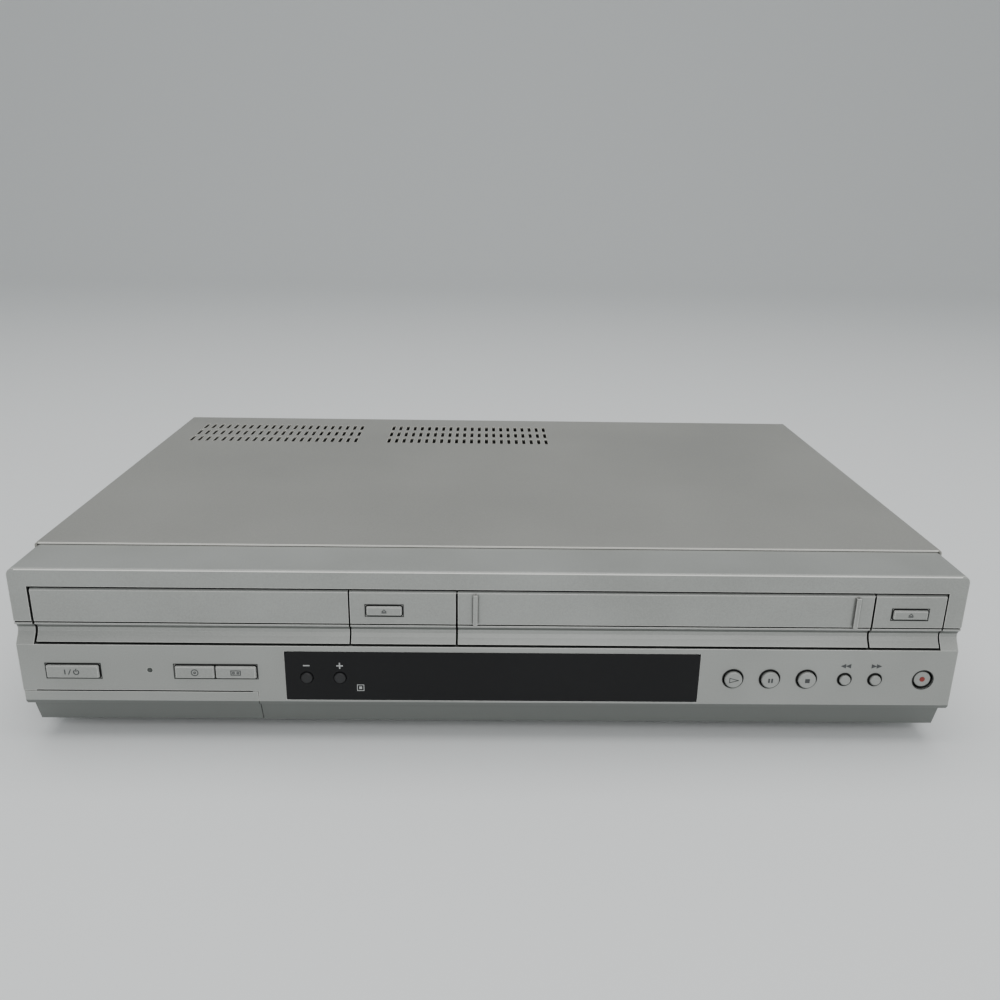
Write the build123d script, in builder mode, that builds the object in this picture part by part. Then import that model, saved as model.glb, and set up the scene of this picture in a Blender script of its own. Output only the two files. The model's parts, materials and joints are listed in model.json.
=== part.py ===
from build123d import *
import math
import os

# A combined disc and cassette player, in millimetres. X runs to the right as seen from the front,
# Y to the rear and Z up. The origin is on the table, under the middle of the player.

# ---- overall sizes
half_width = 215.0
cover_top = 88.0
front = -140.7  # the upper front face
rear = front + 275.8  # the rear edge of the cover
sheet = 1.0  # thickness of the steel sheet
base = 8.0  # underside of the pan above the table
gap = 0.3  # free gap between fixed pieces
play = 0.05  # radial play of a shaft in its hole

# ---- front
wall = 4.5  # depth of the moulded front wall behind the upper face
side_wall = 2.2
cover_front = front + 28.3
brow_back = 87.0  # height of the brow at its rear edge
brow_front = 86.8
brow_under = 83.2
bezel_back = cover_front - 0.2
corner = 3.5
low_corner = 2.2
fascia = front - 1.3  # lower fascia plane
fascia_top = 50.0
lip = 18.8  # underside of the fascia
skirt_half = half_width - 3.0
skirt_thick = 2.2
opening_left = 7.9 - half_width
opening_right = half_width - 8.2
opening_top = 78.1
panel_top = 77.2
panel_bottom = 50.6
panel_back = front + wall - 0.1

# The tray front, the disc panel, the cassette door and the tape panel share the opening.
front_room = 2 * half_width - 20.9
tray_left = 9.1 - half_width
tray_right = tray_left + 0.3449 * front_room
disc_panel_left = tray_right + 0.8
disc_panel_right = disc_panel_left + 0.11635 * front_room
door_left = disc_panel_right + 1.0
door_right = door_left + 0.46052 * front_room
tape_panel_left = door_right + 1.0
tape_panel_right = half_width - 9.0

# ---- flap over the front jacks
flap_left = gap - half_width
flap_right = flap_left + 107.1
flap_top = 26.2
flap_axis_y = front + 9.5
flap_axis_z = 10.5
flap_pin = 1.2
recess_left = 6.0 - half_width
recess_right = flap_right - 2.4
recess_back = front + 16.0
recess_top = 26.9
jack_sleeve = 4.15
jack_collar = 5.35  # shoulder of a jack in the hole of its panel
collar_proud = 0.6
jack_z = 18.5
front_jack_xs = tuple(recess_left + step for step in (19.0, 37.0, 55.0))

# ---- display window
window_left = -0.4395 * half_width
window_right = 0.447 * half_width
window_bottom = 22.5
window_top = 47.3
window_thick = 3.2

# ---- buttons and switches
button_gap = 0.25
slot_gap = 0.45  # round the rectangular buttons
ring_gap = 0.6  # round the round buttons of the fascia
button_corner = 0.7
button_travel = 1.0
board_front = front + 14.0
board_thick = 1.6
switch_deep = 3.4
plunger = 0.5
stem_end = board_front - switch_deep - plunger - button_travel - 0.2
flange_thick = 0.8

# ---- disc drive
disc_x = (tray_left + tray_right) / 2
disc_y = front + 82.0
disc_radius = 60.0
tray_half = 63.0
tray_under = 62.0
tray_over = 68.0
tray_back = front + 178.0
well_floor = 65.4
small_floor = 64.2
slot_half = 20.0
gear_module = 1.0
tray_teeth = 24
pinion_teeth = 10
gear_y = front + 28.0
rack_line = disc_x + 52.0  # pitch line of the rack
loader_half = 67.5
loader_floor = 30.0
loader_back = front + 190.0
loader_deck = 50.5
loader_top = 75.0
hinge_y = front + 172.0
hinge_z = 47.0
lift_angle = 5.03
spindle_reach = hinge_y - disc_y
rod_x = 24.0
rod_radius = 1.5
screw_x = -33.0

# ---- tape deck
tape_x = (door_left + door_right) / 2
cassette_wide = 188.0
basket_half = cassette_wide / 2 + 1.7
basket_front = front + 31.0
basket_deep = 108.0
basket_floor = 49.9
basket_roof = 76.2
basket_in = 22.0
basket_down = 21.0
deck_top = 25.2
deck_thick = 1.2
deck_left = tape_x - 108.8
deck_right = tape_x + 111.2
deck_front = front + 34.0
deck_back = front + 235.0
bracket_half = 98.4
reel_offset = 46.2
reel_y = front + 95.0
drum_y = front + 198.0
drum_radius = 31.0
drum_tilt = 5.9
capstan_x = tape_x + 61.2
capstan_y = front + 172.0
pivot_x = tape_x + 89.2
pivot_y = front + 178.0
arm_x = tape_x + 71.1
arm_y = front + 186.2

# ---- rear
panel_y = rear - 2 * sheet - 0.1  # front face of the rear panel
board_z = 13.0
board_back = panel_y - 1.0
rear_reach = panel_y + 10.8
inlet_x = 29.0 - half_width
inlet_z = 27.0
transformer_x = inlet_x + 11.0
board_left = inlet_x + 40.0
board_right = deck_left - 1.0
tuner_left = inlet_x + 98.0
tuner_right = inlet_x + 144.0
antenna_sleeve = 4.7
antenna_collar = 6.0
screw_xs = (25.0 - half_width, 0.0, half_width - 25.0)
foot_x = half_width - 37.0

os.makedirs("parts", exist_ok=True)


def block(x0, x1, y0, y1, z0, z1, mode=Mode.ADD):
    with Locations(((x0 + x1) / 2, (y0 + y1) / 2, (z0 + z1) / 2)):
        Box(x1 - x0, y1 - y0, z1 - z0, mode=mode)


def rounded_block(x0, x1, y0, y1, z0, z1, radius, mode=Mode.ADD):
    with BuildSketch(Plane.XZ.offset(-y1)) as outline:
        with Locations(((x0 + x1) / 2, (z0 + z1) / 2)):
            RectangleRounded(x1 - x0, z1 - z0, radius)
    extrude(outline.sketch, amount=y1 - y0, mode=mode)


def post(x, y, z0, z1, radius, mode=Mode.ADD):
    with Locations((x, y, (z0 + z1) / 2)):
        Cylinder(radius, z1 - z0, mode=mode)


def rod_along_x(x0, x1, y, z, radius, mode=Mode.ADD):
    with Locations(((x0 + x1) / 2, y, z)):
        Cylinder(radius, x1 - x0, rotation=(0, 90, 0), mode=mode)


def rod_along_y(x, y0, y1, z, radius, mode=Mode.ADD):
    with Locations((x, (y0 + y1) / 2, z)):
        Cylinder(radius, y1 - y0, rotation=(90, 0, 0), mode=mode)


def side_prism(points, x0, x1, mode=Mode.ADD):
    # points are (distance behind the upper front face, height)
    with BuildSketch(Plane.YZ.offset(x0)) as section:
        with BuildLine():
            Polyline([(front + y, z) for y, z in points], close=True)
        make_face()
    extrude(section.sketch, amount=x1 - x0, mode=mode)


def save(piece, name):
    piece.part.label = name
    export_step(piece.part, "parts/" + name + ".step")


# The band under the upper face: a fine double groove, then a hollow slope that comes forward again.
band_line = [
    (0.0, 61.0),
    (1.0, 60.8),
    (1.0, 60.4),
    (0.2, 60.2),
    (0.2, 59.4),
    (1.7, 58.5),
    (2.5, 57.0),
    (2.3, 55.3),
    (1.4, 53.7),
    (-0.6, 51.15),
    (-0.2, panel_bottom),
]


def panel_line(back, upper_back):
    line = [(upper_back, panel_top), (0.9, panel_top), (0.0, panel_top - 0.9)]
    line += band_line
    line += [(back, panel_bottom), (back, 63.0), (upper_back, 64.5)]
    return line


# ---- front bezel
bezel_line = [
    (bezel_back - front, brow_back),
    (1.0, brow_front),
    (0.3, brow_front - 0.25),
    (0.0, brow_front - 0.9),
]
# At both ends of the bezel the slope of the band runs on into the fascia.
bezel_line += band_line[:-2]
bezel_line += [
    (fascia - front, fascia_top),
    (fascia - front, lip + 2.7),
    (fascia - front + 0.7, lip + 0.8),
    (1.1, lip),
    (bezel_back - front, lip),
]


def skirt_line(clear):
    return [
        (1.1 - clear, lip + 0.5),
        (5.0 - clear, base),
        (5.0 + skirt_thick + clear, base),
        (1.1 + skirt_thick + clear, lip + 0.5),
    ]


def rectangular_hole(x0, x1, z0, z1, clear):
    rounded_block(x0 - clear, x1 + clear, front - 4, front + wall + 3, z0 - clear, z1 + clear,
                  button_corner + clear, Mode.SUBTRACT)


def round_hole(x, z, radius):
    rod_along_y(x, front - 4, front + wall + 3, z, radius, Mode.SUBTRACT)


# name: left, right, bottom, top, how far it stands out of its face
rectangular_buttons = {
    "power_button": (12.2 - half_width, 36.0 - half_width, 33.5, 40.0),
    "disc_select_button": (-0.6721 * half_width, -0.5884 * half_width, 33.7, 39.9),
    "tape_select_button": (-0.5865 * half_width, -0.5005 * half_width, 33.7, 39.9),
}
eject_buttons = {
    "disc_eject_button": (disc_panel_left + 7.4, disc_panel_right - 24.2, 65.3, 69.9),
    "tape_eject_button": (tape_panel_left + 8.4, tape_panel_right - 7.8, 65.3, 69.9),
}
# name: centre across, centre height, radius of the cap, how far it stands out of the fascia
round_buttons = {
    "play_button": (0.521 * half_width, 34.9, 4.1, 1.8),
    "pause_button": (0.6005 * half_width, 34.9, 4.1, 1.8),
    "stop_button": (0.6802 * half_width, 34.9, 4.1, 1.8),
    "rewind_button": (0.763 * half_width, 34.9, 2.55, 1.5),
    "fast_forward_button": (0.829 * half_width, 34.9, 2.55, 1.5),
    "record_button": (0.934 * half_width, 34.9, 4.15, -0.6),
}
channel_buttons = {
    "channel_down_button": (-0.394 * half_width, 34.1, 2.7, 1.0),
    "channel_up_button": (-0.3233 * half_width, 34.1, 2.7, 1.0),
}
# The two select buttons sit side by side in one slot.
power_slot = rectangular_buttons["power_button"]
select_slot = rectangular_buttons["disc_select_button"][:1] + rectangular_buttons["tape_select_button"][1:]
button_slots = (power_slot, select_slot)
rect_proud = 1.3
eject_proud = 1.0
lamp_x = -0.7265 * half_width
lamp_z = 37.3
lamp_radius = 1.25

with BuildPart() as front_bezel:
    side_prism(bezel_line, -half_width, half_width)
    # The lower corners of the front are rounded, and so are both front corners of the brow.
    with BuildSketch(Plane.XZ.offset(-cover_front)) as outline:
        with Locations((0, (lip + cover_top) / 2)):
            Rectangle(2 * half_width, cover_top - lip)
        fillet(outline.vertices().group_by(Axis.Y)[0], low_corner)
    extrude(outline.sketch, amount=40, mode=Mode.INTERSECT)
    brow_slope = math.atan2(brow_back - brow_front, bezel_back - front - 1.0)
    brow_plane = Plane(
        origin=(0, front + 1.0, brow_front + 0.01),
        x_dir=(1, 0, 0),
        z_dir=(0, -math.cos(brow_slope), -math.sin(brow_slope)),
    )
    with BuildSketch(brow_plane) as brow_outline:
        with Locations((0, -cover_top / 2)):
            Rectangle(2 * half_width, cover_top)
        fillet(brow_outline.vertices().group_by(Axis.Y)[-1], corner)
    extrude(brow_outline.sketch, amount=40, both=True, mode=Mode.INTERSECT)
    inner_half = half_width - side_wall
    block(-inner_half, inner_half, front + wall, cover_front, lip + 1.8, brow_under, Mode.SUBTRACT)
    # Tongue that slips under the front edge of the cover.
    block(10 - half_width, half_width - 10, cover_front - 3, cover_front + 8, brow_back - 2.6, brow_back - 0.4)
    # Skirt under the fascia, to the right of the flap, and the ledge that meets the pan.
    side_prism(skirt_line(0), flap_right + 0.25, skirt_half)
    block(flap_right + 0.25, skirt_half, front + 5.5, front + 18.8, base, base + 1.6)
    side_prism([(1.5, lip + 0.5), (5.3, base), (18.8, base), (18.8, base + 1.3), (27.0, lip + 0.5)],
               skirt_half - side_wall, skirt_half)
    # Backing plates that the two eject panels are fixed to.
    block(disc_panel_left + 2, disc_panel_right - 2, front + wall - 1, front + wall + 1.5, 46, 82)
    block(tape_panel_left + 2, tape_panel_right + 1.5, front + wall - 1, front + wall + 1.5, 46, 82)
    # Box-shaped recess for the jacks.
    block(recess_left - side_wall, recess_right + side_wall, front + 2, recess_back + 1.5, base + 0.2,
          recess_top + 1.5)
    # Wide opening for the tray, the door and the eject panels.
    block(opening_left, opening_right, front - 5, front + wall, fascia_top, opening_top, Mode.SUBTRACT)
    block(tray_left - 1.2, tray_right + 0.4, front, front + 18, fascia_top, opening_top, Mode.SUBTRACT)
    block(recess_left, recess_right, front - 5, recess_back, base + 1.7, recess_top, Mode.SUBTRACT)
    block(recess_left, recess_right, front - 5, front + 13, base - 1, base + 2, Mode.SUBTRACT)
    # The lip under the fascia stops short of the jacks.
    block(recess_left - side_wall, recess_right + side_wall, recess_back + 1.5, cover_front, lip - 1,
          recess_top + 1.5, Mode.SUBTRACT)
    # Room for the flap itself.
    block(-half_width - 1, flap_right + 0.25, front - 5, front + 3.6, lip - 1, flap_top + 0.25, Mode.SUBTRACT)
    side_prism([(-4, lip + 2), (3.9, lip + 2), (7.8, base - 1), (-4, base - 1)], -half_width - 1, flap_right + 0.25,
               Mode.SUBTRACT)
    rod_along_x(recess_left - 3, recess_right + 3, flap_axis_y, flap_axis_z, flap_pin + play, Mode.SUBTRACT)
    for x in front_jack_xs:
        rod_along_y(x, recess_back - 1, recess_back + 3, jack_z, jack_collar + 0.2, Mode.SUBTRACT)
    # Window seat: a rebate in front and a smaller hole behind it.
    block(window_left - 0.1, window_right + 0.1, front - 5, front - 1.3 + window_thick, window_bottom - 0.1,
          window_top + 0.1, Mode.SUBTRACT)
    block(window_left + 4, window_right - 4, front - 5, front + wall + 1, window_bottom + 3,
          window_top - 3, Mode.SUBTRACT)
    for x0, x1, z0, z1 in button_slots:
        rectangular_hole(x0, x1, z0, z1, slot_gap)
    for x0, x1, z0, z1 in eject_buttons.values():
        rectangular_hole(x0, x1, z0, z1, slot_gap)
    for x, z, radius, proud in round_buttons.values():
        round_hole(x, z, radius + ring_gap)
    round_hole(lamp_x, lamp_z, lamp_radius + play)

with BuildPart() as eject_panels:
    back = panel_back - front
    side_prism(panel_line(back, back), disc_panel_left, disc_panel_right)
    side_prism(panel_line(back, back), tape_panel_left, tape_panel_right)
    for x0, x1, z0, z1 in eject_buttons.values():
        rectangular_hole(x0, x1, z0, z1, slot_gap)
    # Holes for the two pivot pins of the cassette door.
    rod_along_x(disc_panel_right - 2, tape_panel_left + 2, front + 1.3, 76.0, 0.7 + play, Mode.SUBTRACT)

with BuildPart() as tray_front:
    side_prism(panel_line(wall - 0.5, wall - 0.5), tray_left, tray_right)

with BuildPart() as cassette_door:
    side_prism(panel_line(wall, 2.6), door_left, door_right)
    for x in (door_left + 7.9, door_right - 7.5):
        block(x - 0.9, x + 0.9, front - 1.5, front + 1, 61.2, 75.8)
    rod_along_x(door_left - 2.4, door_left + 1, front + 1.3, 76.0, 0.7)
    rod_along_x(door_right - 1, door_right + 2.4, front + 1.3, 76.0, 0.7)

with BuildPart() as jack_door:
    side_prism(
        [
            (fascia - front, flap_top),
            (fascia - front, lip + 2.7),
            (fascia - front + 0.7, lip + 0.8),
            (1.1, lip),
            (3.3, lip),
            (3.3, lip + 1.5),
            (0.9, lip + 3),
            (0.9, flap_top),
        ],
        flap_left,
        flap_right,
    )
    with BuildSketch(Plane.XZ.offset(-front - 6)) as outline:
        with Locations(((flap_left + flap_right) / 2, (lip + flap_top) / 2)):
            Rectangle(flap_right - flap_left, flap_top - lip)
        fillet(outline.vertices().group_by(Axis.Y)[0].sort_by(Axis.X)[0], low_corner)
    extrude(outline.sketch, amount=10, mode=Mode.INTERSECT)
    side_prism(
        [(1.1, lip + 0.1), (5.0, base + 0.2), (5.0 + skirt_thick, base + 0.2), (3.3, lip + 0.1)],
        -skirt_half,
        flap_right,
    )
    # Both ends of the skirt are thinned near the pivot, so that they pass the walls of the recess.
    for x0, x1 in ((-skirt_half - 1, recess_left + 0.4), (recess_right - 0.4, flap_right + 1)):
        side_prism([(6.0, base), (4.0, base + 6.2), (6.5, base + 6.2), (8.5, base)], x0, x1, Mode.SUBTRACT)
    # Two ears carry the pivot pins.
    for x0, pin0, pin1 in ((recess_left + 0.6, recess_left - 1.2, recess_left + 1),
                           (recess_right - 2.6, recess_right - 1, recess_right + 1.2)):
        block(x0, x0 + 2, front + 5.8, flap_axis_y, flap_axis_z - 1.6, flap_axis_z + 2)
        rod_along_x(x0, x0 + 2, flap_axis_y, flap_axis_z, 2.2)
        rod_along_x(pin0, pin1, flap_axis_y, flap_axis_z, flap_pin)

with BuildPart() as display_window:
    with BuildSketch(Plane.XZ.offset(-(fascia - 0.2))) as glass:
        with Locations(((window_left + window_right) / 2, (window_bottom + window_top) / 2)):
            RectangleRounded(window_right - window_left, window_top - window_bottom, 1.6)
        with Locations(*[(x, z) for x, z, radius, proud in channel_buttons.values()]):
            Circle(2.7 + button_gap, mode=Mode.SUBTRACT)
    extrude(glass.sketch, amount=-window_thick)

with BuildPart() as indicator_lamp:
    rod_along_y(lamp_x, fascia, board_front - gap, lamp_z, lamp_radius)
    rod_along_y(lamp_x, front + wall + gap, front + wall + 1.3, lamp_z, lamp_radius + 0.7)

# ---- buttons


def rectangular_button(name, x0, x1, z0, z1, face, back):
    with BuildPart() as cap:
        rounded_block(x0, x1, face, back + gap + flange_thick, z0, z1, button_corner)
        rim = cap.faces().sort_by(Axis.Y)[0].edges()
        chamfer(rim, 0.5)
        block(x0, x1, back + gap, back + gap + flange_thick, z0 - 0.9, z1 + 0.9)
        rod_along_y((x0 + x1) / 2, back, stem_end, (z0 + z1) / 2, 1.6)
    save(cap, name)


def round_button(name, x, z, radius, face, back, clear):
    with BuildPart() as cap:
        rod_along_y(x, face, back + gap + flange_thick, z, radius)
        rim = cap.faces().sort_by(Axis.Y)[0].edges()
        fillet(rim, 0.7)
        rod_along_y(x, back + gap, back + gap + flange_thick, z, radius + clear + 0.6)
        rod_along_y(x, back, stem_end, z, 1.6)
    save(cap, name)


for name, (x0, x1, z0, z1) in rectangular_buttons.items():
    rectangular_button(name, x0, x1, z0, z1, fascia - rect_proud, front + wall)
for name, (x0, x1, z0, z1) in eject_buttons.items():
    rectangular_button(name, x0, x1, z0, z1, front - eject_proud, front + wall + 1.5)
for name, (x, z, radius, proud) in round_buttons.items():
    round_button(name, x, z, radius, fascia - proud, front + wall, ring_gap)
for name, (x, z, radius, proud) in channel_buttons.items():
    round_button(name, x, z, radius, fascia - proud, fascia - 0.2 + window_thick, button_gap)

switch_places = []
for x0, x1, z0, z1 in list(rectangular_buttons.values()) + list(eject_buttons.values()):
    switch_places.append(((x0 + x1) / 2, (z0 + z1) / 2))
for x, z, radius, proud in list(round_buttons.values()) + list(channel_buttons.values()):
    switch_places.append((x, z))

with BuildPart() as push_switches:
    for x, z in switch_places:
        block(x - 3, x + 3, board_front - switch_deep, board_front, z - 3, z + 3)
        rod_along_y(x, board_front - switch_deep - plunger, board_front - 1, z, 1.4)

with BuildPart() as front_board:
    board_back_y = board_front + board_thick
    board_half = half_width - 9
    block(-board_half, recess_right + 6, board_front, board_back_y, 29.2, loader_deck - 1)
    block(recess_right + 4, board_half, board_front, board_back_y, 23.5, loader_deck - 1)
    block(disc_panel_left + 2, disc_panel_right - 5.6, board_front, board_back_y, 48, 73)
    block(tape_panel_left + 6, tape_panel_right - 1, board_front, board_back_y, 48, 73)
    # Lugs moulded to the rear of the board sit against the bezel's side walls.
    lug_end = half_width - side_wall - gap
    block(-lug_end, 2 - board_half, board_front, board_back_y, 36, 46)
    block(board_half - 2, lug_end, board_front, board_back_y, 36, 46)

with BuildPart() as display_module:
    block(-50, 72, front + 3.2, board_front, 27, 43)

with BuildPart() as front_jacks:
    for x in front_jack_xs:
        block(x - 6, x + 6, recess_back + 1.5, recess_back + 9, 11, 26)
        rod_along_y(x, recess_back - collar_proud, recess_back + 2, jack_z, jack_collar)
        rod_along_y(x, front + 6.5, recess_back + 3, jack_z, jack_sleeve)
        rod_along_y(x, front + 6, recess_back - 1.5, jack_z, 3.3, Mode.SUBTRACT)
        rod_along_y(x, front + 8, recess_back, jack_z, 2.3)
        rod_along_y(x, front + 7, recess_back - 2, jack_z, 1.6, Mode.SUBTRACT)

# ---- casing
with BuildPart() as bottom_chassis:
    pan_half = half_width - sheet - 0.2
    pan_front = front + 19.0
    pan_back = panel_y - 0.1
    block(-pan_half, pan_half, pan_front, pan_back, base, base + sheet)
    for x0 in (-pan_half, pan_half - sheet):
        block(x0, x0 + sheet, cover_front, pan_back, base, base + 14)
    block(-pan_half, pan_half, pan_back - sheet, pan_back, base, base + 4)
    # Standoffs for the loader, the deck, the main board and the transformer.
    for x in (disc_x - 58, disc_x + 58):
        for y in (front + 60, front + 180):
            post(x, y, base, loader_floor, 4)
    for x in (deck_left + 6, deck_right - 6):
        for y in (deck_front + 8, deck_back - 8):
            post(x, y, base, deck_top - deck_thick, 4)
    for x in (board_left + 6, board_right - 6):
        for y in (front + 202, front + 262):
            post(x, y, base, board_z, 3)
    # Air slots in the floor.
    with Locations((tape_x, front + 130, base)):
        with GridLocations(12, 40, 12, 2):
            Box(3, 24, 6, mode=Mode.SUBTRACT)

with BuildPart() as top_cover:
    block(-half_width, half_width, cover_front, rear, base + 2, cover_top)
    fillet(top_cover.faces().sort_by(Axis.Z)[-1].edges().filter_by(Axis.Y), 1.6)
    block(-half_width + sheet, half_width - sheet, cover_front - 1, rear + 1, base, cover_top - sheet,
          Mode.SUBTRACT)
    # Rear return that laps over the rear panel.
    block(-half_width + sheet, half_width - sheet, rear - sheet, rear, cover_top - 12, cover_top - sheet)
    vent_rows = 3
    vent_columns = 22
    with BuildSketch(Plane.XY.offset(cover_top - 3)) as vents:
        for centre, pitch in ((-0.6674, 0.02391), (-0.0707, 0.02316)):
            with Locations((centre * half_width, front + 234.3)):
                with GridLocations(pitch * half_width, 16.3, vent_columns, vent_rows):
                    SlotOverall(12.0, 2.2, rotation=90)
    extrude(vents.sketch, amount=6, mode=Mode.SUBTRACT)
    for x in screw_xs:
        rod_along_y(x, rear - 3, rear + 1, cover_top - 7, 1.8, Mode.SUBTRACT)

with BuildPart() as cover_screws:
    for x in screw_xs:
        rod_along_y(x, panel_y + sheet - 4, rear, cover_top - 7, 1.5)
        rod_along_y(x, rear, rear + 2, cover_top - 7, 3)

# Rear sockets: places across and up.
rca_xs = tuple(inlet_x + step for step in (54.0, 72.0, 90.0))
rca_places = [(x, z) for x in rca_xs for z in (27.0, 43.0)]
antenna_places = [(inlet_x + 110.0, 34.0), (inlet_x + 132.0, 34.0)]

with BuildPart() as rear_panel:
    block(-pan_half, pan_half, panel_y, panel_y + sheet, base + 0.2, cover_top - sheet - 0.3)
    for x, z in rca_places:
        rod_along_y(x, panel_y - 1, panel_y + 3, z, jack_collar + 0.2, Mode.SUBTRACT)
    for x, z in antenna_places:
        rod_along_y(x, panel_y - 1, panel_y + 3, z, antenna_collar + 0.2, Mode.SUBTRACT)
    block(inlet_x - 10.3, inlet_x + 10.3, panel_y - 1, panel_y + 3, inlet_z - 5.3, inlet_z + 5.3, Mode.SUBTRACT)
    for x in screw_xs:
        rod_along_y(x, panel_y - 1, panel_y + 3, cover_top - 7, 1.5, Mode.SUBTRACT)
    # Air slots in the rear panel.
    with Locations((90, panel_y + sheet / 2, 45)):
        with GridLocations(7, 1, 18, 1):
            Box(3, 4, 26, mode=Mode.SUBTRACT)

foot_radius = 11.0
with BuildPart() as feet:
    for x in (-foot_x, foot_x):
        for y in (front + 36, rear - 26):
            with Locations((x, y, base / 2)):
                Cone(foot_radius - 1.2, foot_radius, base)

with BuildPart() as rear_av_jacks:
    for x in rca_xs:
        block(x - 7, x + 7, panel_y - 13, panel_y - 0.1, board_z + board_thick, 52)
    for x, z in rca_places:
        rod_along_y(x, panel_y - 3, panel_y + sheet + collar_proud, z, jack_collar)
        rod_along_y(x, panel_y, rear_reach - 0.6, z, jack_sleeve)
        rod_along_y(x, panel_y + 1, rear_reach + 1, z, 3.3, Mode.SUBTRACT)
        rod_along_y(x, panel_y, rear_reach - 2, z, 2.3)
        rod_along_y(x, panel_y + 2, rear_reach, z, 1.6, Mode.SUBTRACT)

with BuildPart() as tuner_box:
    block(tuner_left, tuner_right, panel_y - 36, panel_y - 0.1, board_z + board_thick, 46)
    for x, z in antenna_places:
        rod_along_y(x, panel_y - 1, panel_y + sheet + collar_proud, z, antenna_collar)
        rod_along_y(x, panel_y, rear_reach, z, antenna_sleeve)
        rod_along_y(x, rear_reach - 6, rear_reach + 1, z, 1.2, Mode.SUBTRACT)

with BuildPart() as mains_inlet:
    block(inlet_x - 10, inlet_x + 10, panel_y - 18, panel_y + sheet, inlet_z - 5, inlet_z + 5)
    block(inlet_x - 12, inlet_x + 12, panel_y + sheet, panel_y + sheet + 1.5, inlet_z - 7, inlet_z + 7)
    block(inlet_x - 10, inlet_x + 10, panel_y - 18, panel_y - 14, base + sheet, inlet_z)
    for x in (inlet_x - 4.3, inlet_x + 4.3):
        rod_along_y(x, panel_y - 12, rear, inlet_z, 3.4, Mode.SUBTRACT)
        rod_along_y(x, panel_y - 13, panel_y - 3, inlet_z, 1.2)

with BuildPart() as power_transformer:
    block(transformer_x - 21, transformer_x + 21, front + 200, front + 246, base + sheet, base + sheet + 8)
    block(transformer_x - 17, transformer_x + 17, front + 204, front + 242, base + sheet + 8, 52)
    block(transformer_x - 25, transformer_x + 25, front + 212, front + 234, 20, 46)

with BuildPart() as main_board:
    block(board_left, board_right, front + 196, board_back, board_z, board_z + board_thick)
    top = board_z + board_thick
    for x, y, radius, high in ((10, 222, 8, 26), (28, 222, 8, 26), (44, 214, 5, 16), (10, 204, 5, 14)):
        post(board_left + x, front + y, top, top + high, radius)
    block(board_left + 50, board_left + 86, front + 200, front + 204, top, top + 26)
    block(board_left + 64, board_left + 84, front + 208, front + 224, top, top + 2)

# ---- disc drive


def gear_points(x, y, teeth, phase):
    radius = gear_module * teeth / 2
    step = 360 / teeth
    points = []
    for tooth in range(teeth):
        middle = phase + tooth * step
        for share, reach in ((-0.30, -1.15), (-0.11, 0.85), (0.11, 0.85), (0.30, -1.15)):
            angle = math.radians(middle + share * step)
            r = radius + reach * gear_module
            points.append((x + r * math.cos(angle), y + r * math.sin(angle)))
    return points


def gear_wheel(x, y, z0, z1, teeth, phase):
    with BuildSketch(Plane.XY.offset(z0)) as wheel:
        with BuildLine():
            Polyline(gear_points(x, y, teeth, phase), close=True)
        make_face()
    extrude(wheel.sketch, amount=z1 - z0)


gear_x = rack_line - gear_module * tray_teeth / 2
pinion_x = gear_x - gear_module * (tray_teeth + pinion_teeth) / 2
motor_x = disc_x - 18
gear_low = 57.0
gear_high = 61.4
pulley_radius = 9.0
motor_pulley = 3.0
pulley_low = 53.6
pulley_high = 56.2

with BuildPart() as disc_tray:
    block(disc_x - tray_half, disc_x + tray_half, front + wall - 0.5, tray_back, tray_under, tray_over)
    post(disc_x, disc_y, well_floor, tray_over + 1, disc_radius + 0.5, Mode.SUBTRACT)
    post(disc_x, disc_y, small_floor, tray_over + 1, 40.5, Mode.SUBTRACT)
    post(disc_x, disc_y, tray_under - 1, tray_over + 1, slot_half, Mode.SUBTRACT)
    block(disc_x - slot_half, disc_x + slot_half, disc_y, tray_back + 1, tray_under - 1, tray_over + 1,
          Mode.SUBTRACT)
    # Rack under the right-hand edge.
    pitch = math.pi * gear_module
    rack_front = gear_y - 2.5 * pitch
    rack_back = tray_back - 1
    block(rack_line + 1.15, rack_line + 5, rack_front - 1, rack_back, gear_low + 0.8, tray_under)
    for tooth in range(int((rack_back - rack_front) / pitch)):
        middle = rack_front + pitch * tooth
        with BuildSketch(Plane.XY.offset(gear_low + 0.8)) as rack_tooth:
            with BuildLine():
                Polyline(
                    (rack_line + 1.3, middle - 0.31 * pitch),
                    (rack_line - 0.85, middle - 0.11 * pitch),
                    (rack_line - 0.85, middle + 0.11 * pitch),
                    (rack_line + 1.3, middle + 0.31 * pitch),
                    close=True,
                )
            make_face()
        extrude(rack_tooth.sketch, amount=tray_under - gear_low - 0.8)

with BuildPart() as tray_gear:
    gear_wheel(gear_x, gear_y, gear_low, gear_high, tray_teeth, 0)
    post(gear_x, gear_y, loader_deck + 1.8, gear_low + 1, 3.5)
    post(gear_x, gear_y, loader_deck - 1, loader_deck + 3, 1.5)

with BuildPart() as drive_pulley:
    gear_wheel(pinion_x, gear_y, pulley_high, gear_high, pinion_teeth, 18)
    post(pinion_x, gear_y, pulley_low, pulley_high, pulley_radius)
    post(pinion_x, gear_y, pulley_low + 0.7, pulley_high - 0.7, pulley_radius + 2, Mode.SUBTRACT)
    post(pinion_x, gear_y, pulley_low, pulley_high, pulley_radius - 1.2)
    post(pinion_x, gear_y, loader_deck + 1.8, pulley_low + 1, 3)
    post(pinion_x, gear_y, loader_deck - 1, pulley_low + 1, 1.5)

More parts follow.
